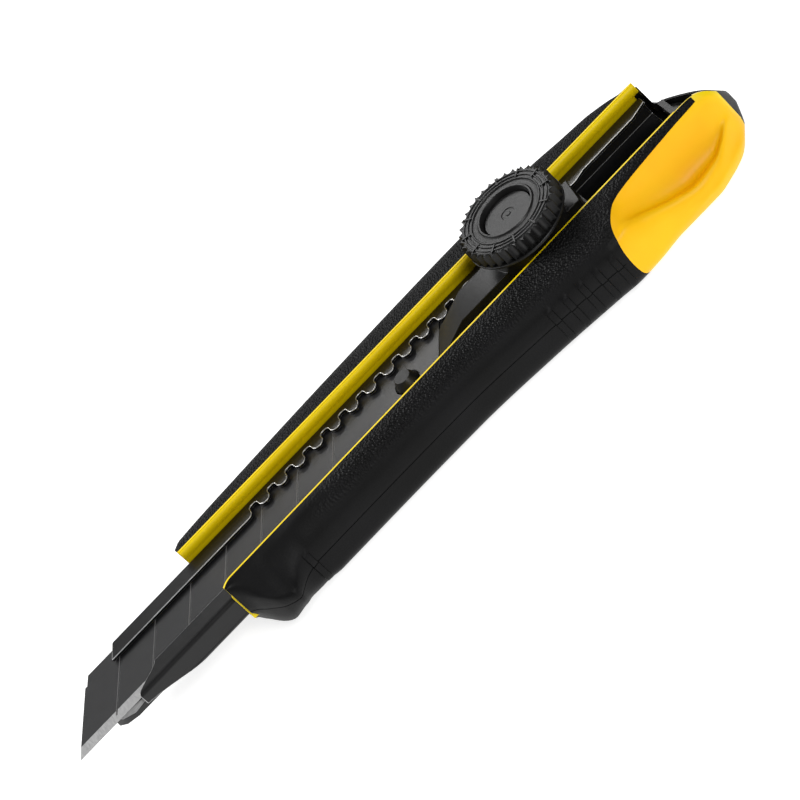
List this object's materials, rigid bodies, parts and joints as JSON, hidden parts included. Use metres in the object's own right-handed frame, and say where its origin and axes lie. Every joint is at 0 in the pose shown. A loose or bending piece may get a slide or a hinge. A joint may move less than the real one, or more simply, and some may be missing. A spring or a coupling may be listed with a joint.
{
  "type": "utility knife",
  "caption": "Snap-off utility knife with a dial lock, a two-colour moulded handle with a thumb scoop and a pry tongue under the blade.",
  "frame": {"origin": "on the flat back that the knife lies on, under the blade's centreline, 112 mm behind the blade's point", "axes": "+X from the blade's point to the butt, +Y from the cutting edge to the blade's spine, +Z out of the dial"},
  "size_m": [0.1797, 0.0393, 0.0222],
  "materials": {
    "yellow_abs": "fine moulded satin",
    "black_tpe": "moulded, grained on the shoulders",
    "black_pom": "fine spark-eroded mould finish",
    "black_steel": "black oxide sheet steel",
    "pry_steel": "black oxide, ground corner",
    "blade_steel": "black oxide with a bright ground edge",
    "bright_steel": "zinc plated",
    "brass": "turned"
  },
  "bodies": {
    "handle": {"core_body": "yellow_abs", "rubber_grip": "black_tpe", "rear_stop": "black_pom", "blade_channel": "black_steel", "pry_plate": "pry_steel", "pry_rivet_front": "bright_steel", "pry_rivet_rear": "bright_steel", "channel_screw_front": "bright_steel", "channel_screw_rear": "bright_steel"},
    "slider": {"slider_body": "black_pom", "blade_carrier": "black_steel", "blade": "blade_steel", "blade_pin": "black_pom", "carrier_rivet_near": "bright_steel", "carrier_rivet_far": "bright_steel", "leaf_spring": "bright_steel", "wave_washer": "bright_steel"},
    "dial": {"dial_wheel": "black_pom", "dial_cap": "black_pom", "dial_sleeve": "brass", "clamp_stud": "bright_steel"},
    "clamp": {"clamp_pad": "black_pom"}
  },
  "joints": [
    {"name": "blade_slide", "type": "slide", "parent": "handle", "child": "slider", "axis": [1, 0, 0], "range_m": [-0.05, 0.02]},
    {"name": "dial_turn", "type": "hinge", "parent": "slider", "child": "dial", "pos_m": [0.0212, 0, 0.018], "axis": [0, 0, 1], "range_deg": [-135, 0]},
    {"name": "clamp_lift", "type": "slide", "parent": "slider", "child": "clamp", "axis": [0, 0, 1], "range_m": [0, 0.00032]}
  ],
  "couplings": [
    {"joint": "clamp_lift", "follows": "dial_turn", "m_per_rad": -0.00012732}
  ]
}
